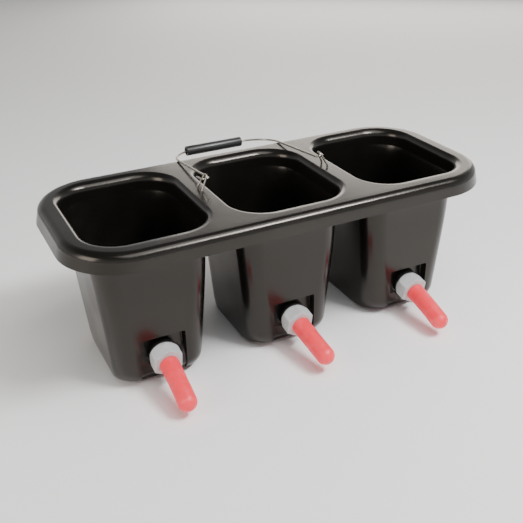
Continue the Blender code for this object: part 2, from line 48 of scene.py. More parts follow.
# Driving sizes of the CAD part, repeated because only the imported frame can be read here.
# The rim's outer sizes come from the frame itself.
rim_low, rim_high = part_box("trough_body")
RIM_HALF_X = (rim_high.x - rim_low.x) / 2
RIM_HALF_Y = (rim_high.y - rim_low.y) / 2
RIM_HEIGHT = rim_high.z
RIM_CORNER = 95.0 * MM
RIM_FILLET = 13.0 * MM
SKIRT_DEPTH = 27.0 * MM
SKIRT_FLARE_X = 3.5 * MM
SKIRT_FLARE_Y = 1.0 * MM
WALL = 4.0 * MM

# Pots: outer sizes at the virtual sharp base and where the taper ends, the lip's widths, and
# the flare just below the lip
POT_PITCH = 220.0 * MM
POT_CENTRES = (-POT_PITCH, 0.0, POT_PITCH)
LIP_DEPTH = 13.0 * MM
LIP_SIDE = 9.0 * MM
LIP_FRONT = 20.0 * MM
LIP_REAR = 14.0 * MM
TAPER_TOP_Z = RIM_HEIGHT - 25.0 * MM
POT_HALF_X = (69.0 * MM, 88.5 * MM)
POT_FRONT_Y = (-92.0 * MM, -93.5 * MM)
POT_REAR_Y = (107.0 * MM, 118.0 * MM)
POT_FRONT_CORNER = (37.0 * MM, 27.0 * MM)
POT_REAR_CORNER = (50.0 * MM, 58.0 * MM)
SIDE_FLARE = 5.0 * MM
FRONT_FLARE = 14.0 * MM
FLARE_POWER = 16
CORNER_FLARE = 26.0 * MM
CORNER_FLARE_POWER = 8
BASE_RISE = 29.0 * MM
BASE_SIDE = 3.5 * MM
BASE_FRONT = 38.0 * MM

# Recess for the teat fitting
POCKET_HALF_X = 36.0 * MM
POCKET_TOP_Z = 82.5 * MM
POCKET_FLOOR_Y = -79.0 * MM
POCKET_ROUND = 3.0 * MM          # rounding of the recess's own corners
POCKET_ROUND_STEPS = 5
RAMP_TOP_Z = 57.0 * MM           # below this the recess floor slopes out towards the front
RAMP_FOOT_Z = 38.0 * MM
RAMP_Y = -88.0 * MM
SPOT_FACE_RADIUS = 26.0 * MM     # round clearance for the nut, cut into the ramp
SPOT_FACE_DEPTH = 2.0 * MM       # how far behind the seat that clearance starts
PLUG_EMBED = 1.0 * MM            # keeps the recess's outer faces inside the wall
RAMP_EMBED = 3.5 * MM
CUT_OVER = 20.0 * MM             # how far cutters run past what they cut

# Teat fitting, measured along its own axis from the seat face, outwards
AXIS_TILT = math.radians(10.0)   # the fitting points this far below the horizontal
SEAT_Y = -85.9 * MM
SEAT_Z = 51.6 * MM
BOSS_RADIUS = 22.5 * MM
BOSS_INNER = -17.0 * MM
BORE_RADIUS = 16.6 * MM
GASKET_THICK = 2.0 * MM
GASKET_RADIUS = 21.0 * MM
GASKET_EDGE = 0.35 * MM
STEM_RADIUS = 16.1 * MM
STEM_BORE = 10.0 * MM
STEM_END = 18.0 * MM
STEM_FLANGE_RADIUS = 22.0 * MM
STEM_FLANGE_THICK = 4.0 * MM
STEM_FLANGE_EDGE = 0.7 * MM
STEM_LEAD = 0.8 * MM             # chamfer at the stem's outer end
THREAD_PITCH = 2.5 * MM
THREAD_DEPTH = 0.7 * MM
THREAD_RUN_OUT = 1.0 * MM        # plain stretch before the stem's end
THREAD_TURN_STEPS = 6            # rings in one turn, and rings over which it fades in and out
NUT_START = 2.6 * MM
NUT_END = 26.5 * MM
NUT_ACROSS_FLATS = 42.5 * MM
NUT_MOUTH = 13.0 * MM
NUT_MOUTH_DEPTH = 4.9 * MM
NUT_REAR_RADIUS = 20.8 * MM
NUT_CHAMFER = 7.0 * MM
NUT_BEVEL = 0.9 * MM
NUT_CORNER_SOFTNESS = 0.20 * MM
NUT_ROUND_BLEND = 0.3 * MM       # softness between the hexagon and the round chamfer
NUT_ROUND_OVER = 0.5 * MM        # how far past the corners the chamfer's cone runs
NUT_ROUND_POWER = 0.85
NUT_CHAMFER_STEPS = 10
NUT_BEVEL_STEPS = 4
NUT_LIP = 0.6 * MM               # rounding of the mouth
NUT_UNCUT = 1.0                  # a round radius too large to cut the hexagon

# Non-return valve inside the stem
VALVE_FIT = 9.7 * MM
INSERT_EDGE = 0.4 * MM
SEAT_BORE = 4.8 * MM
SEAT_BEVEL = 1.2 * MM
SEAT_END = -7.0 * MM
BALL_RADIUS = 6.5 * MM
BALL_SEAM_DEPTH = 0.006          # both as parts of the ball's radius
BALL_SEAM_WIDTH = 0.2
RETAINER_BORE = 5.3 * MM
RETAINER_START = 5.0 * MM
RETAINER_END = 8.0 * MM
BALL_CENTRE = RETAINER_START - math.sqrt(BALL_RADIUS ** 2 - RETAINER_BORE ** 2) - GAP

# Teat
TEAT_FLANGE_RADIUS = 16.0 * MM
TEAT_FLANGE_THICK = 3.0 * MM
TEAT_FLANGE_EDGE = 0.6 * MM
TEAT_NECK = 12.7 * MM
TEAT_RADIUS = 14.8 * MM
TEAT_TIP_RADIUS = 14.4 * MM
TEAT_REACH = 70.9 * MM
TEAT_WALL = 4.0 * MM
TEAT_MOUTH = 8.5 * MM
TEAT_BEND_POWER = 1.6
TEAT_NECK_GAP = 0.1 * MM         # where the neck stops short of the nut's face
TEAT_SHOULDER = 1.4 * MM         # rounding where the body leaves the nut
TEAT_WAIST = 0.25 * MM           # how much thinner the body is at its middle
TEAT_BODY_STEPS = 26
TEAT_TIP_STEPS = 16
TEAT_DIMPLE = 0.5 * MM           # radius and depth of the dimple at the tip
TEAT_DIMPLE_END = 1.5 * MM
TEAT_HOLLOW_START = 6.0 * MM     # where the hollow reaches its full width
TEAT_HOLLOW_STEPS = 10
TEAT_HOLLOW_TIP_STEPS = 8
STATIONS = {
    # name: (pot centre, sideways lean and lift of the teat's tip)
    "left": (-POT_PITCH, 0.0 * MM, -10.5 * MM),
    "middle": (0.0, 5.0 * MM, -5.7 * MM),
    "right": (POT_PITCH, 0.0 * MM, -7.4 * MM),
}

# Bail, its grip and its staples
HINGE_Y = 6.0 * MM
HINGE_Z = RIM_HEIGHT + 17.0 * MM
BAIL_WIRE = 1.75 * MM
BAIL_LEG_X = 93.8 * MM
BAIL_TAIL_X = 106.5 * MM
BAIL_TAIL = 18.0 * MM
BAIL_REACH = 182.0 * MM
BAIL_CORNER = 55.0 * MM
HOOK_BEND = 3.0 * MM
GRIP_LENGTH = 103.0 * MM
GRIP_RADIUS = 8.3 * MM
GRIP_BORE = 5.5 * MM
GRIP_X = -8.5 * MM
GRIP_REACH = BAIL_REACH - 1.7 * MM   # the grip hangs a little inside the bar's centreline
GRIP_EDGE = 0.8 * MM
STAPLE_WIRE = 1.5 * MM
STAPLE_X = 109.0 * MM
STAPLE_TOP_X = 98.5 * MM
STAPLE_TOP_Z = RIM_HEIGHT + 23.0 * MM
STAPLE_TOP_HALF = 3.9 * MM
STAPLE_FOOT_HALF = 9.0 * MM
STAPLE_CLINCH = 8.0 * MM
STAPLE_KNEE_Z = RIM_HEIGHT + 3.0 * MM  # where the legs leave the deck and start to lean
STAPLE_BENDS = (1.6 * MM, 4.0 * MM, 3.2 * MM)  # at the clinch, the knee and the top

# Camera: place, and the directions to its right and upwards
CAMERA_PLACE = Vector((-0.5068, -1.0036, 0.7106))
CAMERA_RIGHT = Vector((0.89246, -0.45082, -0.01612))
CAMERA_UP = Vector((0.22601, 0.41593, 0.88086))
CAMERA_LENS = 53.22
CAMERA_SENSOR = 36.0

# Studio: bright round the horizon and dark overhead, as the lips and the fillet reflect it
HORIZON_STRENGTH = 0.90
HORIZON_Z = 0.10                 # the sky fades between these two heights of a direction
ZENITH_STRENGTH = 0.10
ZENITH_Z = 0.70
FLOOR_HALF = 6.0
LIGHT_TARGET = (0.0, 0.0, 0.15)
WHITE = (1.0, 1.0, 1.0)
WARM = (1.0, 0.92, 0.83)
SOFTBOXES = (
    # name, place, size, watts, colour
    ("rear_wall", (1.9, 2.4, 0.9), (2.6, 1.2), 30.0, WARM),
    ("key", (0.88, -1.05, 1.95), (0.85, 0.30), 52.0, WHITE),
    ("soft_top", (0.4, -0.9, 2.3), (2.6, 1.3), 38.0, WHITE),
    ("left_fill", (-2.2, -0.4, 0.9), (1.0, 1.2), 24.0, WARM),
)

# Mesh fineness
CORNER_STEPS = 22
RIM_STEPS = 30
LIP_STEPS = 12
WALL_RINGS = 16
WALL_RING_POWER = 1.6            # packs the wall's rings towards the flare
BASE_STEPS = 10
ROUND_SIDES = 72
NUT_SIDES = 2 * ROUND_SIDES
WIRE_SIDES = 20
EDGE_STEPS = 3
BAIL_BEND_STEPS = 18
STAPLE_BEND_STEPS = 8

# Steepest angle between faces that stays smooth, in degrees, where it isn't the usual one
SMOOTH_USUAL = 35.0
SMOOTH_TROUGH = 32.0
SMOOTH_NUT = 9.0
SMOOTH_TURNED = 45.0
SMOOTH_WIRE = 50.0
SMOOTH_BALL = 60.0


# ---------------------------------------------------------------- materials

class Shader:
    """A Principled material under construction, with short calls for its nodes."""

    def __init__(self, name, colour, roughness, metallic=0.0):
        self.material = bpy.data.materials.new(name)
        self.material.use_nodes = True
        self.tree = self.material.node_tree
        self.principled = self.tree.nodes["Principled BSDF"]
        self.put("Base Color", (*colour, 1.0))
        self.put("Roughness", roughness)
        self.put("Metallic", metallic)
        self.place = self.tree.nodes.new("ShaderNodeTexCoord").outputs["Object"]

    def put(self, socket, value):
        self.principled.inputs[socket].default_value = value

    def noise(self, scale, detail=4.0, stretch=(1.0, 1.0, 1.0), distortion=0.0):
        mapping = self.tree.nodes.new("ShaderNodeMapping")
        mapping.inputs["Scale"].default_value = stretch
        self.tree.links.new(self.place, mapping.inputs["Vector"])
        noise = self.tree.nodes.new("ShaderNodeTexNoise")
        noise.inputs["Scale"].default_value = scale
        noise.inputs["Detail"].default_value = detail
        noise.inputs["Distortion"].default_value = distortion
        self.tree.links.new(mapping.outputs["Vector"], noise.inputs["Vector"])
        return noise.outputs["Fac"]

    def ramp(self, source, stops):
        ramp = self.tree.nodes.new("ShaderNodeValToRGB")
        elements = ramp.color_ramp.elements
        while len(elements) < len(stops):
            elements.new(0.5)
        for element, (position, colour) in zip(elements, stops):
            element.position = position
            element.color = (*colour, 1.0)
        self.tree.links.new(source, ramp.inputs["Fac"])
        return ramp.outputs["Color"]

    def levels(self, source, low, high, start=0.3, end=0.7):
        spread = self.tree.nodes.new("ShaderNodeMapRange")
        spread.inputs["From Min"].default_value = start
        spread.inputs["From Max"].default_value = end
        spread.inputs["To Min"].default_value = low
        spread.inputs["To Max"].default_value = high
        self.tree.links.new(source, spread.inputs["Value"])
        return spread.outputs["Result"]

    def feed(self, socket, source):
        self.tree.links.new(source, self.principled.inputs[socket])

    def bump(self, heights):
        """Chains bumps, each (source, distance in metres), onto the normal."""
        normal = None
        for source, distance in heights:
            node = self.tree.nodes.new("ShaderNodeBump")
            node.inputs["Strength"].default_value = 1.0
            node.inputs["Distance"].default_value = distance
            self.tree.links.new(source, node.inputs["Height"])
            if normal:
                self.tree.links.new(normal, node.inputs["Normal"])
            normal = node.outputs["Normal"]
        self.feed("Normal", normal)


def trough_plastic():
    """Glossy black polyethylene: slow waves from moulding, fine orange peel, dusty patches."""
    shader = Shader("trough_plastic", (0.008, 0.0075, 0.0065), 0.20)
    shader.put("Specular IOR Level", 0.45)
    shader.put("Specular Tint", (1.0, 0.93, 0.85, 1.0))
    dust = shader.noise(9.0, 6.0)
    shader.feed("Base Color", shader.ramp(dust, [
        (0.35, (0.005, 0.0047, 0.0041)),
        (0.55, (0.007, 0.0066, 0.0058)),
        (0.78, (0.014, 0.013, 0.0115)),
    ]))
    shader.feed("Roughness", shader.levels(shader.noise(14.0, 8.0), 0.17, 0.26))
    shader.bump([(shader.noise(7.0, 1.0), 1.2 * MM), (shader.noise(320.0, 3.0), 0.03 * MM)])
    return shader.material


def wire_metal(name, colour, roughness):
    """Galvanised wire, with a fine grain and dull patches of zinc."""
    shader = Shader(name, colour, roughness, 1.0)
    patches = shader.noise(180.0, 5.0)
    dull = tuple(part * 0.72 for part in colour)
    shader.feed("Base Color", shader.ramp(patches, [(0.35, dull), (0.62, colour)]))
    shader.feed("Roughness", shader.levels(patches, roughness + 0.12, roughness - 0.06))
    shader.bump([(shader.noise(900.0, 3.0), 0.03 * MM)])
    return shader.material


def grip_plastic():
    """Satin black extruded tube with lengthwise draw lines."""
    shader = Shader("grip_plastic", (0.020, 0.021, 0.021), 0.38)
    lines = shader.noise(260.0, 3.0, stretch=(0.03, 1.0, 1.0))
    shader.feed("Roughness", shader.levels(lines, 0.30, 0.46))
    shader.bump([(lines, 0.06 * MM), (shader.noise(700.0, 2.0), 0.02 * MM)])
    return shader.material


def teat_rubber():
    """Soft coral rubber that light gets into, slightly mottled, with a fine skin."""
    shader = Shader("teat_rubber", (1.0, 0.045, 0.070), 0.42)
    shader.put("Subsurface Weight", 0.45)
    shader.put("Subsurface Radius", (1.0, 0.35, 0.30))
    shader.put("Subsurface Scale", 6.0 * MM)
    mottle = shader.noise(70.0, 5.0, distortion=0.4)
    shader.feed("Base Color", shader.ramp(mottle, [
        (0.30, (0.96, 0.028, 0.050)),
        (0.52, (1.0, 0.045, 0.070)),
        (0.74, (1.0, 0.100, 0.125)),
    ]))
    shader.feed("Roughness", shader.levels(shader.noise(120.0, 4.0), 0.36, 0.50))
    shader.bump([(shader.noise(90.0, 2.0), 0.15 * MM), (shader.noise(1100.0, 2.0), 0.02 * MM)])
    return shader.material


def nut_plastic():
    """Light grey moulded nylon, faintly mottled."""
    shader = Shader("nut_plastic", (0.50, 0.51, 0.52), 0.42)
    shader.put("Subsurface Weight", 0.08)
    shader.put("Subsurface Radius", (1.0, 1.0, 1.0))
    shader.put("Subsurface Scale", 1.5 * MM)
    cloud = shader.noise(90.0, 5.0)
    shader.feed("Base Color", shader.ramp(cloud, [
        (0.35, (0.47, 0.48, 0.49)),
        (0.65, (0.53, 0.54, 0.55)),
    ]))
    shader.feed("Roughness", shader.levels(cloud, 0.36, 0.50))
    shader.bump([(shader.noise(800.0, 3.0), 0.04 * MM)])
    return shader.material


def small_plastic(name, colour, roughness):
    """Moulded plastic or rubber for the small inner pieces, with a fine grain."""
    shader = Shader(name, colour, roughness)
    grain = shader.noise(240.0, 4.0)
    darker = tuple(part * 0.82 for part in colour)
    shader.feed("Base Color", shader.ramp(grain, [(0.35, darker), (0.65, colour)]))
    shader.feed("Roughness", shader.levels(grain, roughness - 0.06, roughness + 0.06))
    shader.bump([(shader.noise(900.0, 3.0), 0.03 * MM)])
    return shader.material


# ---------------------------------------------------------------- mesh helpers

def make_object(name, bm, material=None, sharp=SMOOTH_USUAL):
    """Turns a bmesh into a named object with outward faces, smooth except at sharp edges."""
    bmesh.ops.recalc_face_normals(bm, faces=bm.faces)
    mesh = bpy.data.meshes.new(name)
    bm.to_mesh(mesh)
    bm.free()
    mesh.shade_smooth()
    mesh.set_sharp_from_angle(angle=math.radians(sharp))
    item = bpy.data.objects.new(name, mesh)
    bpy.context.scene.collection.objects.link(item)
    if material:
        mesh.materials.append(material)
    return item


def stand_for(piece, node, body):
    """The piece is shown instead of a CAD node, and moves with that node's body."""
    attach(piece, body)
    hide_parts(node)


def mix(pair, part):
    return pair[0] + (pair[1] - pair[0]) * part


def add_ring(bm, points):
    return [bm.verts.new(point) for point in points]


def turns(sides):
    return [2 * math.pi * index / sides for index in range(sides)]


def add_round_ring(bm, centre, across, side, radius, sides, size=1.0):
    """A circle about a centre, in the plane of two unit vectors."""
    return add_ring(bm, [
        centre + (across * math.cos(a) + side * math.sin(a)) * radius * size for a in turns(sides)])


def loft(bm, rings):
    """Joins each closed ring to the next, all of the same count, with quads."""
    for ring, other in zip(rings, rings[1:]):
        for index in range(len(ring)):
            after = (index + 1) % len(ring)
            bm.faces.new((ring[index], ring[after], other[after], other[index]))


def arc(centre, radius, start, end, steps):
    """Points of an arc in the (radius, height) plane; angles in degrees."""
    points = []
    for step in range(steps + 1):
        angle = math.radians(start + (end - start) * step / steps)
        points.append((centre[0] + radius * math.cos(angle), centre[1] + radius * math.sin(angle)))
    return points


def add_lathe(bm, profile):
    """Turns a closed profile of (radius, height) points round local Z."""
    rings = []
    for radius, height in profile:
        points = [(radius * math.cos(a), radius * math.sin(a), height) for a in turns(ROUND_SIDES)]
        rings.append(add_ring(bm, points))
    loft(bm, rings + rings[:1])


def soft_ring_profile(inner, outer, start, end, edge):
    """A rectangular section with small round edges."""
    return (
        arc((inner + edge, start + edge), edge, 180, 270, EDGE_STEPS)
        + arc((outer - edge, start + edge), edge, 270, 360, EDGE_STEPS)
        + arc((outer - edge, end - edge), edge, 0, 90, EDGE_STEPS)
        + arc((inner + edge, end - edge), edge, 90, 180, EDGE_STEPS)
    )


def add_box(bm, low, high):
    centre = [(a + b) / 2 for a, b in zip(low, high)]
    made = bmesh.ops.create_cube(bm, size=1.0)
    bmesh.ops.scale(bm, vec=[b - a for a, b in zip(low, high)], verts=made["verts"])
    bmesh.ops.translate(bm, vec=centre, verts=made["verts"])
    return made["verts"]


def add_tube(bm, path, radius):
    """Sweeps a circle along a path, with rounded ends: each (distance, size) in wire radii."""
    across = Vector((0.3, 0.2, 1.0))
    rings = []
    last = len(path) - 1
    for index, point in enumerate(path):
        tangent = (path[min(index + 1, last)] - path[max(index - 1, 0)]).normalized()
        across = (across - tangent * across.dot(tangent)).normalized()
        side = tangent.cross(across)
        sizes = [(0.0, 1.0)]
        if index == 0:
            sizes = [(0.0, 0.45), (0.08, 0.75), (0.3, 1.0)]
        if index == last:
            sizes = [(-0.3, 1.0), (-0.08, 0.75), (0.0, 0.45)]
        for along, size in sizes:
            centre = point + tangent * radius * along
            rings.append(add_round_ring(bm, centre, across, side, radius, WIRE_SIDES, size))
    loft(bm, rings)
    bm.faces.new(rings[0])
    bm.faces.new(rings[-1])


def rounded_path(corners, radii, steps):
    """A path through corner points, with each inner corner turned into an arc."""
    path = [corners[0]]
    for before, corner, after, radius in zip(corners, corners[1:], corners[2:], radii):
        back = (before - corner).normalized()
        ahead = (after - corner).normalized()
        half = back.angle(ahead) / 2
        centre = corner + (back + ahead).normalized() * radius / math.sin(half)
        start = (corner + back * radius / math.tan(half) - centre).normalized()
        end = (corner + ahead * radius / math.tan(half) - centre).normalized()
        path += [centre + start.slerp(end, step / steps) * radius for step in range(steps + 1)]
    path.append(corners[-1])
    return path


# ---------------------------------------------------------------- trough body

def rounded_rectangle(centre_x, half_x, front_y, rear_y, front_corner, rear_corner, z, steps):
    """Points of a rounded rectangle in a level plane, counter-clockwise from above."""
    corners = (
        (centre_x + half_x - rear_corner, rear_y - rear_corner, rear_corner),
        (centre_x - half_x + rear_corner, rear_y - rear_corner, rear_corner),
        (centre_x - half_x + front_corner, front_y + front_corner, front_corner),
        (centre_x + half_x - front_corner, front_y + front_corner, front_corner),
    )
    points = []
    for quarter, (x, y, radius) in enumerate(corners):
        for step in range(steps + 1):
            angle = math.pi / 2 * (quarter + step / steps)
            points.append((x + radius * math.cos(angle), y + radius * math.sin(angle), z))
    return points


def pot_ring(centre_x, z, skin, lip=0.0, side_in=0.0, front_in=0.0):
    """One level ring of a pot wall, skin metres inside its outer face.

    lip is the share of the lip's width by which the ring is opened out: 1 at the deck.
    """
    part = min(z / TAPER_TOP_Z, 1.0)
    flare = part ** FLARE_POWER
    depth = WALL - skin
    side = (LIP_SIDE - depth) * lip
    front = (LIP_FRONT - depth) * lip
    rear = (LIP_REAR - depth) * lip
    front_corner = mix(POT_FRONT_CORNER, part) + CORNER_FLARE * part ** CORNER_FLARE_POWER
    return rounded_rectangle(
        centre_x,
        mix(POT_HALF_X, part) + SIDE_FLARE * flare - skin + side - side_in,
        mix(POT_FRONT_Y, part) - FRONT_FLARE * flare + skin - front + front_in,
        mix(POT_REAR_Y, part) - skin + rear - side_in,
        front_corner - skin + (side + front) / 2 - side_in,
        mix(POT_REAR_CORNER, part) - skin + (side + rear) / 2 - side_in,
        z,
        CORNER_STEPS,
    )


def pot_foot_rings(centre_x, skin):
    """Rings from the foot of the straight wall round to the flat base."""
    rings = []
    for step in range(BASE_STEPS + 1):
        angle = math.pi / 2 * step / BASE_STEPS
        run_in = 1.0 - math.cos(angle)
        z = BASE_RISE - (BASE_RISE - skin) * math.sin(angle)
        side_in = (BASE_SIDE - skin) * run_in
        front_in = (BASE_FRONT - skin) * run_in
        rings.append(pot_ring(centre_x, z, skin, 0.0, side_in, front_in))
    return rings


def pot_rings(centre_x, depth):
    """Rings of one pot from the deck down, depth metres under the top surface of the shell."""
    rings = []
    for step in range(LIP_STEPS + 1):
        angle = math.pi / 2 * step / LIP_STEPS
        z = RIM_HEIGHT - depth - (LIP_DEPTH - depth) * (1.0 - math.cos(angle))
        rings.append(pot_ring(centre_x, z, WALL - depth, 1.0 - math.sin(angle)))
    for ring in range(WALL_RINGS):
        part = 1.0 - (ring / WALL_RINGS) ** WALL_RING_POWER
        z = BASE_RISE + (TAPER_TOP_Z - BASE_RISE) * part
        rings.append(pot_ring(centre_x, z, WALL - depth))
    return rings + pot_foot_rings(centre_x, WALL - depth)


def rim_rings(depth):
    """Rings of the rim from the edge of the deck over the fillet and down the skirt."""
    radius = RIM_FILLET - depth
    levels = []                  # (inset in x, inset in y, z)
    for step in range(LIP_STEPS + 1):
        angle = math.pi / 2 * step / LIP_STEPS
        inset = depth + radius * (1.0 - math.sin(angle))
        z = RIM_HEIGHT - depth - radius * (1.0 - math.cos(angle))
        levels.append((SKIRT_FLARE_X + inset, SKIRT_FLARE_Y + inset, z))
    levels.append((depth, depth, RIM_HEIGHT - SKIRT_DEPTH))
    rings = []
    for inset_x, inset_y, z in levels:
        half_x = RIM_HALF_X - inset_x
        half_y = RIM_HALF_Y - inset_y
        corner = RIM_CORNER - inset_y
        rings.append(rounded_rectangle(0.0, half_x, -half_y, half_y, corner, corner, z, RIM_STEPS))
    return rings


def add_shell_side(bm, depth):
    """One side of the moulding: deck, pots and skirt. Returns the skirt's lowest ring."""
    outer = [add_ring(bm, points) for points in rim_rings(depth)]
    loft(bm, outer)
    loops = [outer[0]]
    for centre_x in POT_CENTRES:
        rings = [add_ring(bm, points) for points in pot_rings(centre_x, depth)]
        loft(bm, rings)
        bm.faces.new(rings[-1])
        loops.append(rings[0])
    edges = [bm.edges.get((ring[i - 1], ring[i])) for ring in loops for i in range(len(ring))]
    bmesh.ops.triangle_fill(bm, use_beauty=True, edges=edges)
    return outer[-1]


def fitting_axis():
    return Vector((0.0, -math.cos(AXIS_TILT), -math.sin(AXIS_TILT)))


def seat_point(centre_x):
    return Vector((centre_x, SEAT_Y, SEAT_Z))


def add_cylinder(bm, start, end, radius, sides):
    """A capped cylinder between two points."""
    axis = (end - start).normalized()
    across = Vector((1.0, 0.0, 0.0)) if abs(axis.x) < 0.5 else Vector((0.0, 1.0, 0.0))
    side = axis.cross(across).normalized()
    across = side.cross(axis)
    rings = [add_round_ring(bm, centre, across, side, radius, sides) for centre in (start, end)]
    loft(bm, rings)
    bm.faces.new(rings[0])
    bm.faces.new(rings[1])


def combine(item, bm, operation):
    """Applies one exact Boolean with a temporary solid, and removes the solid."""
    other = make_object("cutter", bm)
    modifier = item.modifiers.new("cut", "BOOLEAN")
    modifier.operation = operation
    modifier.object = other
    modifier.solver = "EXACT"
    graph = bpy.context.evaluated_depsgraph_get()
    mesh = bpy.data.meshes.new_from_object(item.evaluated_get(graph))
    item.modifiers.clear()
    item.data = mesh
    bpy.data.objects.remove(other)


def pot_cores(embed):
    """Solids of the pots' lower parts, embed metres inside their outer faces."""
    bm = bmesh.new()
    for centre_x in POT_CENTRES:
        rings = [add_ring(bm, pot_ring(centre_x, POCKET_TOP_Z + CUT_OVER, embed))]
        rings += [add_ring(bm, points) for points in pot_foot_rings(centre_x, embed)]
        loft(bm, rings)
        bm.faces.new(rings[0])
        bm.faces.new(rings[-1])
    return bm


def add_prism(bm, centre_x, half_x, outline):
    """A prism along X over an outline of (y, z) points."""
    rings = []
    for side in (-1, 1):
        rings.append(add_ring(bm, [(centre_x + side * half_x, y, z) for y, z in outline]))
    loft(bm, rings)
    bm.faces.new(rings[0])
    bm.faces.new(rings[1])


def recess_backs():
    """The recess's back wall and sides, kept inside the pot's outer face."""
    bm = bmesh.new()
    half = POCKET_HALF_X + WALL
    for centre_x in POT_CENTRES:
        add_box(bm, (centre_x - half, POT_FRONT_Y[1] - CUT_OVER, -CUT_OVER),
                (centre_x + half, POCKET_FLOOR_Y + WALL, POCKET_TOP_Z + WALL))
    backs = make_object("backs", bm)
    combine(backs, pot_cores(PLUG_EMBED), "INTERSECT")
    return backs


def recess_ramps():
    """The sloping lower floor of each recess, with a round clearance for the nut."""
    outline = [
        (POCKET_FLOOR_Y + WALL / 2, RAMP_TOP_Z),
        (POCKET_FLOOR_Y, RAMP_TOP_Z),
        (RAMP_Y, RAMP_FOOT_Z),
        (RAMP_Y, -CUT_OVER),
        (POCKET_FLOOR_Y + WALL / 2, -CUT_OVER),
    ]
    bm = bmesh.new()
    for centre_x in POT_CENTRES:
        add_prism(bm, centre_x, POCKET_HALF_X + WALL / 2, outline)
    ramps = make_object("ramps", bm)
    combine(ramps, pot_cores(RAMP_EMBED), "INTERSECT")
    bm = bmesh.new()
    for centre_x in POT_CENTRES:
        seat = seat_point(centre_x)
        start = seat - fitting_axis() * SPOT_FACE_DEPTH
        add_cylinder(bm, start, seat + fitting_axis() * CUT_OVER, SPOT_FACE_RADIUS, ROUND_SIDES)
    combine(ramps, bm, "DIFFERENCE")
    return ramps


def as_bmesh(item):
    """The object's mesh as a bmesh; the object itself is removed."""
    bm = bmesh.new()
    bm.from_mesh(item.data)
    bpy.data.objects.remove(item)
    return bm


def recess_cutter():
    bm = bmesh.new()
    for centre_x in POT_CENTRES:
        low = (centre_x - POCKET_HALF_X, POT_FRONT_Y[1] - 2 * CUT_OVER, -2 * CUT_OVER)
        high = (centre_x + POCKET_HALF_X, POCKET_FLOOR_Y, POCKET_TOP_Z)
        edges = {edge for vert in add_box(bm, low, high) for edge in vert.link_edges}
        bmesh.ops.bevel(bm, geom=list(edges), offset=POCKET_ROUND, segments=POCKET_ROUND_STEPS,
                        affect="EDGES", profile=0.5)
    return bm


def bosses():
    bm = bmesh.new()
    for centre_x in POT_CENTRES:
        seat = seat_point(centre_x)
        add_cylinder(bm, seat + fitting_axis() * BOSS_INNER, seat, BOSS_RADIUS, ROUND_SIDES)
    return bm


def bores():
    """Cutters for the three teat bores and the four staple holes."""
    bm = bmesh.new()
    for centre_x in POT_CENTRES:
        seat = seat_point(centre_x)
        start = seat + fitting_axis() * (BOSS_INNER - CUT_OVER)
        add_cylinder(bm, start, seat + fitting_axis() * CUT_OVER, BORE_RADIUS, ROUND_SIDES)
    for side in (-1, 1):
        for turn in (-1, 1):
            foot = Vector((side * STAPLE_X, HINGE_Y + turn * STAPLE_FOOT_HALF, RIM_HEIGHT))
            drop = Vector((0.0, 0.0, CUT_OVER / 2))
            add_cylinder(bm, foot - drop, foot + drop, STAPLE_WIRE + GAP, WIRE_SIDES)
    return bm


def make_trough(material):
    """The moulding: a single shell with three pots, a deck, a skirt and three recesses."""
    bm = bmesh.new()
    loft(bm, [add_shell_side(bm, 0.0), add_shell_side(bm, WALL)])
    body = make_object("trough_moulding", bm, material)
    combine(body, as_bmesh(recess_backs()), "UNION")
    combine(body, recess_cutter(), "DIFFERENCE")
    combine(body, as_bmesh(recess_ramps()), "UNION")
    combine(body, bosses(), "UNION")
    combine(body, bores(), "DIFFERENCE")
    body.data.materials.clear()
    body.data.materials.append(material)
    body.data.shade_smooth()
    body.data.set_sharp_from_angle(angle=math.radians(SMOOTH_TROUGH))
    weighted = body.modifiers.new("weighted_normals", "WEIGHTED_NORMAL")
    weighted.keep_sharp = True
    stand_for(body, "trough_body", "trough")


# ---------------------------------------------------------------- teat fittings

def station_matrix(centre_x):
    """Takes a fitting's own axis, local Z, to its place on a pot."""
    turn = Matrix.Rotation(math.pi / 2 + AXIS_TILT, 4, "X")
    return Matrix.Translation(seat_point(centre_x)) @ turn


def soft_min(first, second, softness):
    """The smaller of two sizes, with the crossing rounded off."""
    spread = max(softness - abs(first - second), 0.0) / softness
    return min(first, second) - spread * spread * softness / 4


def nut_outline(round_radius, inset, height):
    """One level of the nut: a hexagon with a corner up, cut back to a round radius."""
    points = []
    for turn in turns(NUT_SIDES):
        off_flat = turn % (math.pi / 3) - math.pi / 6
        flat = (NUT_ACROSS_FLATS / 2 - inset) / math.cos(off_flat)
        corner = (NUT_ACROSS_FLATS / 2 - inset) / math.cos(math.pi / 6) - NUT_CORNER_SOFTNESS
        hexagon = soft_min(flat, corner, NUT_CORNER_SOFTNESS * 2)
        radius = soft_min(hexagon, round_radius, NUT_ROUND_BLEND)
        angle = math.pi / 2 + turn
        points.append((radius * math.cos(angle), radius * math.sin(angle), height))
    return points


def nut_circle(radius, height):
    angles = [math.pi / 2 + turn for turn in turns(NUT_SIDES)]
    return [(radius * math.cos(a), radius * math.sin(a), height) for a in angles]


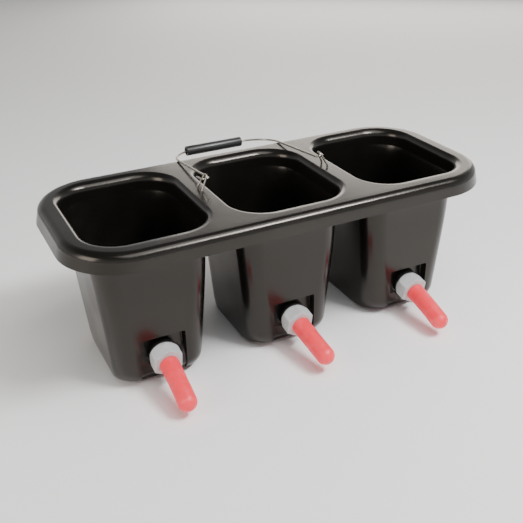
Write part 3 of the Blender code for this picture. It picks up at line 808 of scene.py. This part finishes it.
def make_nut(side, centre_x, material):
    """The grey hexagonal nut: rear corners cut round, a wide cavity and a smaller mouth."""
    corner_radius = NUT_ACROSS_FLATS / 2 / math.cos(math.pi / 6)
    rings = []
    for step in range(NUT_CHAMFER_STEPS + 1):
        part = step / NUT_CHAMFER_STEPS
        reach = (NUT_REAR_RADIUS, corner_radius + NUT_ROUND_OVER)
        round_radius = mix(reach, part ** NUT_ROUND_POWER)
        rings.append(nut_outline(round_radius, 0.0, NUT_START + NUT_CHAMFER * part))
    rings.append(nut_outline(NUT_UNCUT, 0.0, (NUT_START + NUT_CHAMFER + NUT_END) / 2))
    for step in range(NUT_BEVEL_STEPS + 1):
        angle = math.pi / 2 * step / NUT_BEVEL_STEPS
        inset = NUT_BEVEL * (1.0 - math.cos(angle))
        height = NUT_END - NUT_BEVEL * (1.0 - math.sin(angle))
        rings.append(nut_outline(NUT_UNCUT, inset, height))
    for radius, height in arc((NUT_MOUTH + NUT_LIP, NUT_END - NUT_LIP), NUT_LIP, 90, 180, 4):
        rings.append(nut_circle(radius, height))
    cavity = STEM_RADIUS + GAP
    rings.append(nut_circle(NUT_MOUTH, NUT_END - NUT_MOUTH_DEPTH))
    rings.append(nut_circle(cavity, NUT_END - NUT_MOUTH_DEPTH))
    rings.append(nut_circle(cavity, NUT_START))
    bm = bmesh.new()
    made = [add_ring(bm, points) for points in rings]
    loft(bm, made + made[:1])
    bm.transform(station_matrix(centre_x))
    nut = make_object("hex_nut_" + side, bm, material, SMOOTH_NUT)
    stand_for(nut, "cap_nut_" + side, "trough")


def teat_spine(distance, lean, lift):
    """Centre and direction of the teat's centreline, which bends away from the nut's axis."""
    run = min(max(distance - NUT_END, 0.0), TEAT_REACH)
    part = run / TEAT_REACH
    bend = Vector((lean, lift, 0.0))
    centre = bend * part ** TEAT_BEND_POWER
    centre.z = min(distance, NUT_END + TEAT_REACH)
    slope = bend * TEAT_BEND_POWER * part ** (TEAT_BEND_POWER - 1.0) / TEAT_REACH
    direction = (slope + Vector((0.0, 0.0, 1.0))).normalized()
    beyond = max(distance - NUT_END - TEAT_REACH, 0.0)
    return centre + direction * beyond, direction


def teat_profiles():
    """Outer and inner outlines of (radius, distance along the spine)."""
    rear = STEM_END + GAP
    flange_end = rear + TEAT_FLANGE_THICK
    shoulder = NUT_END + GAP
    tip = NUT_END + TEAT_REACH
    edge = TEAT_FLANGE_EDGE
    edge_radius = TEAT_FLANGE_RADIUS - edge
    outer = [(TEAT_MOUTH, rear)]
    outer += arc((edge_radius, rear + edge), edge, 270, 360, EDGE_STEPS)
    outer += arc((edge_radius, flange_end - edge), edge, 0, 90, EDGE_STEPS)
    outer += [(TEAT_NECK, flange_end), (TEAT_NECK, shoulder - TEAT_NECK_GAP)]
    round_off = TEAT_SHOULDER
    outer += arc((TEAT_RADIUS - round_off, shoulder + round_off), round_off, 300, 360, 5)
    for step in range(1, TEAT_BODY_STEPS):
        part = step / TEAT_BODY_STEPS
        waist = -TEAT_WAIST * math.sin(math.pi * part)
        radius = mix((TEAT_RADIUS, TEAT_TIP_RADIUS), part) + waist
        outer.append((radius, mix((shoulder + round_off, tip), part)))
    outer += arc((0.0, tip), TEAT_TIP_RADIUS, 0, 86, TEAT_TIP_STEPS)
    outer.append((TEAT_DIMPLE, tip + TEAT_TIP_RADIUS - TEAT_DIMPLE))
    hollow = TEAT_TIP_RADIUS - TEAT_WALL
    full = shoulder + TEAT_HOLLOW_START
    inner = [(TEAT_MOUTH, shoulder), (hollow, full)]
    for step in range(1, TEAT_HOLLOW_STEPS):
        inner.append((hollow, mix((full, tip), step / TEAT_HOLLOW_STEPS)))
    inner += arc((0.0, tip), hollow, 0, 84, TEAT_HOLLOW_TIP_STEPS)
    return outer, inner


def make_teat(side, centre_x, lean, lift, material):
    """A hollow rubber teat held by its flange, with a dimple at its round tip."""
    bm = bmesh.new()

    def spine_ring(radius, distance):
        centre, direction = teat_spine(distance, lean, lift)
        across = (Vector((1.0, 0.0, 0.0)) - direction * direction.x).normalized()
        other = direction.cross(across)
        return add_round_ring(bm, centre, across, other, radius, ROUND_SIDES)

    def add_end(ring, distance):
        point = bm.verts.new(teat_spine(distance, lean, lift)[0])
        for index in range(len(ring)):
            bm.faces.new((ring[index - 1], ring[index], point))

    outer_profile, inner_profile = teat_profiles()
    outer = [spine_ring(radius, distance) for radius, distance in outer_profile]
    inner = [spine_ring(radius, distance) for radius, distance in inner_profile]
    loft(bm, outer)
    loft(bm, [outer[0]] + inner)
    tip = NUT_END + TEAT_REACH
    add_end(outer[-1], tip + TEAT_TIP_RADIUS - TEAT_DIMPLE_END)
    add_end(inner[-1], tip + TEAT_TIP_RADIUS - TEAT_WALL)
    bm.transform(station_matrix(centre_x))
    teat = make_object("rubber_teat_" + side, bm, material, SMOOTH_WIRE)
    stand_for(teat, "teat_" + side, "trough")


def stem_levels():
    """The stem's profile as (radius, height, share of the thread's full depth)."""
    flange_end = BOSS_INNER - GAP - GASKET_THICK - GAP
    flange_start = flange_end - STEM_FLANGE_THICK
    edge = STEM_FLANGE_EDGE
    edge_radius = STEM_FLANGE_RADIUS - edge
    profile = [(STEM_BORE, flange_start)]
    profile += arc((edge_radius, flange_start + edge), edge, 270, 360, EDGE_STEPS)
    profile += arc((edge_radius, flange_end - edge), edge, 0, 90, EDGE_STEPS)
    profile += [(STEM_RADIUS, flange_end), (STEM_RADIUS, NUT_START)]
    levels = [(radius, height, 0.0) for radius, height in profile]
    count = THREAD_TURN_STEPS * int((STEM_END - NUT_START) / THREAD_PITCH)
    for step in range(1, count):
        share = min(step, count - step, THREAD_TURN_STEPS) / THREAD_TURN_STEPS
        height = mix((NUT_START, STEM_END - THREAD_RUN_OUT), step / count)
        levels.append((STEM_RADIUS, height, share))
    return levels + [(STEM_RADIUS - STEM_LEAD, STEM_END, 0.0), (STEM_BORE, STEM_END, 0.0)]


def make_valve_body(side, centre_x, material):
    """Flanged stem with a real thread where the nut runs."""
    bm = bmesh.new()
    rings = []
    for radius, height, thread in stem_levels():
        points = []
        for index in range(ROUND_SIDES):
            part = index / ROUND_SIDES
            wave = 0.5 - 0.5 * math.cos(2 * math.pi * (height / THREAD_PITCH - part))
            size = radius - THREAD_DEPTH * thread * wave
            angle = 2 * math.pi * part
            points.append((size * math.cos(angle), size * math.sin(angle), height))
        rings.append(add_ring(bm, points))
    loft(bm, rings + rings[:1])
    bm.transform(station_matrix(centre_x))
    stem = make_object("threaded_stem_" + side, bm, material, SMOOTH_TURNED)
    stand_for(stem, "valve_body_" + side, "trough")


def make_turned(name, node, profile, centre_x, material):
    """A ring or tube of a fitting, turned from a profile."""
    bm = bmesh.new()
    add_lathe(bm, profile)
    bm.transform(station_matrix(centre_x))
    stand_for(make_object(name, bm, material, SMOOTH_TURNED), node, "trough")


def make_ball(side, centre_x, material):
    bm = bmesh.new()
    bmesh.ops.create_uvsphere(bm, u_segments=48, v_segments=32, radius=BALL_RADIUS)
    for vert in bm.verts:        # a faint moulding seam round the middle
        off_seam = min(abs(vert.co.z) / (BALL_SEAM_WIDTH * BALL_RADIUS), 1.0)
        vert.co *= 1.0 - BALL_SEAM_DEPTH * (1.0 - off_seam)
    bmesh.ops.translate(bm, vec=(0.0, 0.0, BALL_CENTRE), verts=bm.verts)
    bm.transform(station_matrix(centre_x))
    ball = make_object("seamed_ball_" + side, bm, material, SMOOTH_BALL)
    stand_for(ball, "valve_ball_" + side, "ball_" + side)


def seat_profile():
    """Push-in tube whose bevelled outer end is the ball's seat."""
    start = BOSS_INNER - GASKET_THICK - STEM_FLANGE_THICK
    return [
        (SEAT_BORE, start),
        (VALVE_FIT - INSERT_EDGE, start),
        (VALVE_FIT, start + INSERT_EDGE),
        (VALVE_FIT, SEAT_END - INSERT_EDGE),
        (VALVE_FIT - INSERT_EDGE, SEAT_END),
        (SEAT_BORE + SEAT_BEVEL, SEAT_END),
        (SEAT_BORE, SEAT_END - SEAT_BEVEL),
    ]


def make_stations(materials):
    """The three teat fittings, each from the valve inside the pot out to the teat."""
    inner_face = BOSS_INNER - GAP
    bore = STEM_RADIUS + GAP
    outer_seal = soft_ring_profile(bore, GASKET_RADIUS, GAP, GAP + GASKET_THICK, GASKET_EDGE)
    inner_start = inner_face - GASKET_THICK
    inner_seal = soft_ring_profile(bore, GASKET_RADIUS, inner_start, inner_face, GASKET_EDGE)
    retainer = soft_ring_profile(
        RETAINER_BORE, VALVE_FIT, RETAINER_START, RETAINER_END, INSERT_EDGE)
    turned = (
        # piece, CAD node, slot, profile, material
        ("sealing_ring_", "outer_gasket_", "gasket_rubber", outer_seal, "gasket"),
        ("inner_ring_", "inner_gasket_", "gasket_rubber", inner_seal, "gasket"),
        ("seat_insert_", "valve_seat_", "valve_plastic", seat_profile(), "valve"),
        ("retaining_ring_", "ball_retainer_", "valve_plastic", retainer, "valve"),
    )
    for side, (centre_x, lean, lift) in STATIONS.items():
        make_teat(side, centre_x, lean, lift, materials["teat"])
        make_nut(side, centre_x, materials["nut"])
        make_valve_body(side, centre_x, materials["fitting"])
        for piece, node, slot, profile, key in turned:
            make_turned(piece + side, node + side, profile, centre_x, materials[key])
        make_ball(side, centre_x, materials["ball"])


# ---------------------------------------------------------------- bail, grip and staples

def rest_slope():
    """Angle below the horizontal at which the bail's legs lie on the rear rim."""
    along = RIM_HALF_Y - SKIRT_FLARE_Y - RIM_FILLET - HINGE_Y
    above = HINGE_Z - (RIM_HEIGHT - RIM_FILLET)
    clear = RIM_FILLET + BAIL_WIRE + GAP
    return math.acos(clear / math.hypot(along, above)) - math.atan2(along, above)


def bail_matrix():
    return Matrix.Translation((0.0, HINGE_Y, HINGE_Z)) @ Matrix.Rotation(-rest_slope(), 4, "X")


def make_bail(wire, plastic):
    """Wire bail hooked through both staples, with a loose grip tube on its cross bar."""
    half = [
        Vector((BAIL_TAIL_X, BAIL_TAIL, 0.0)),
        Vector((BAIL_TAIL_X, 0.0, 0.0)),
        Vector((BAIL_LEG_X, 0.0, 0.0)),
        Vector((BAIL_LEG_X, BAIL_REACH, 0.0)),
    ]
    mirrored = [Vector((-point.x, point.y, 0.0)) for point in reversed(half)]
    bends = [HOOK_BEND, HOOK_BEND, BAIL_CORNER]
    path = rounded_path(half + mirrored, bends + bends[::-1], BAIL_BEND_STEPS)
    bm = bmesh.new()
    add_tube(bm, path, BAIL_WIRE)
    bm.transform(bail_matrix())
    bail = make_object("bent_wire_bail", bm, wire, SMOOTH_WIRE)
    stand_for(bail, "bail_wire", "bail")
    end = GRIP_LENGTH / 2
    along_x = Matrix.Rotation(math.pi / 2, 4, "Y")
    bm = bmesh.new()
    add_lathe(bm, soft_ring_profile(GRIP_BORE, GRIP_RADIUS, -end, end, GRIP_EDGE))
    bm.transform(bail_matrix() @ Matrix.Translation((GRIP_X, GRIP_REACH, 0.0)) @ along_x)
    grip = make_object("tube_grip", bm, plastic, SMOOTH_TURNED)
    stand_for(grip, "handle_grip", "grip")


def make_staple(name, node, side, material):
    """Wire eye that leans over the pot, with its feet through the deck and clinched below."""
    below = RIM_HEIGHT - WALL - GAP - STAPLE_WIRE
    corners = []
    for turn in (-1, 1):
        foot_y = HINGE_Y + turn * STAPLE_FOOT_HALF
        leg = [
            Vector((side * STAPLE_X, foot_y + turn * STAPLE_CLINCH, below)),
            Vector((side * STAPLE_X, foot_y, below)),
            Vector((side * STAPLE_X, foot_y, STAPLE_KNEE_Z)),
            Vector((side * STAPLE_TOP_X, HINGE_Y + turn * STAPLE_TOP_HALF, STAPLE_TOP_Z)),
        ]
        corners += leg if turn < 0 else leg[::-1]
    path = rounded_path(corners, STAPLE_BENDS + STAPLE_BENDS[::-1], STAPLE_BEND_STEPS)
    bm = bmesh.new()
    add_tube(bm, path, STAPLE_WIRE)
    staple = make_object(name, bm, material, SMOOTH_WIRE)
    stand_for(staple, node, "trough")


# ---------------------------------------------------------------- floor, light and camera

def make_floor():
    bm = bmesh.new()
    bmesh.ops.create_grid(bm, x_segments=1, y_segments=1, size=FLOOR_HALF)
    shader = Shader("pale_floor", (0.96, 0.96, 0.96), 0.75)
    shader.feed("Roughness", shader.levels(shader.noise(3.0), 0.70, 0.80))
    plane = make_object("studio_floor", bm, shader.material)


def make_sky():
    """White surroundings whose strength falls from the horizon to overhead."""
    world = bpy.data.worlds.new("studio")
    bpy.context.scene.world = world
    world.use_nodes = True
    tree = world.node_tree
    background = tree.nodes["Background"]
    background.inputs["Color"].default_value = (1.0, 1.0, 1.0, 1.0)
    direction = tree.nodes.new("ShaderNodeTexCoord").outputs["Generated"]
    heights = tree.nodes.new("ShaderNodeSeparateXYZ")
    fade = tree.nodes.new("ShaderNodeMapRange")
    fade.inputs["From Min"].default_value = HORIZON_Z
    fade.inputs["From Max"].default_value = ZENITH_Z
    fade.inputs["To Min"].default_value = HORIZON_STRENGTH
    fade.inputs["To Max"].default_value = ZENITH_STRENGTH
    tree.links.new(direction, heights.inputs["Vector"])
    tree.links.new(heights.outputs["Z"], fade.inputs["Value"])
    tree.links.new(fade.outputs["Result"], background.inputs["Strength"])


def add_softbox(name, place, size, power, colour):
    """A rectangular light that faces the object and isn't seen by the camera."""
    light = bpy.data.lights.new(name, "AREA")
    light.shape = "RECTANGLE"
    light.size, light.size_y = size
    light.energy = power
    light.color = colour
    item = bpy.data.objects.new(name, light)
    item.location = place
    item.rotation_mode = "QUATERNION"
    facing = Vector(LIGHT_TARGET) - Vector(place)
    item.rotation_quaternion = facing.to_track_quat("-Z", "Y")
    item.visible_camera = False
    bpy.context.scene.collection.objects.link(item)


def make_camera():
    camera = bpy.data.objects.new("camera", bpy.data.cameras.new("camera"))
    bpy.context.scene.collection.objects.link(camera)
    camera.data.lens = CAMERA_LENS
    camera.data.sensor_width = CAMERA_SENSOR
    back = CAMERA_RIGHT.cross(CAMERA_UP)
    rotation = Matrix((CAMERA_RIGHT, CAMERA_UP, back)).transposed()
    camera.matrix_world = Matrix.Translation(CAMERA_PLACE) @ rotation.to_4x4()
    bpy.context.scene.camera = camera


make_camera()
make_floor()
make_sky()
for softbox in SOFTBOXES:
    add_softbox(*softbox)
staple_metal = wire_metal("staple_metal", (0.46, 0.43, 0.38), 0.30)
make_trough(trough_plastic())
make_bail(wire_metal("bail_metal", (0.40, 0.37, 0.32), 0.28), grip_plastic())
make_staple("bent_staple_left", "staple_left", -1, staple_metal)
make_staple("bent_staple_right", "staple_right", 1, staple_metal)
make_stations({
    "teat": teat_rubber(),
    "nut": nut_plastic(),
    "fitting": small_plastic("fitting_plastic", (0.022, 0.022, 0.022), 0.40),
    "gasket": small_plastic("gasket_rubber", (0.016, 0.016, 0.016), 0.70),
    "valve": small_plastic("valve_plastic", (0.74, 0.74, 0.71), 0.40),
    "ball": small_plastic("ball_plastic", (0.85, 0.85, 0.82), 0.25),
})
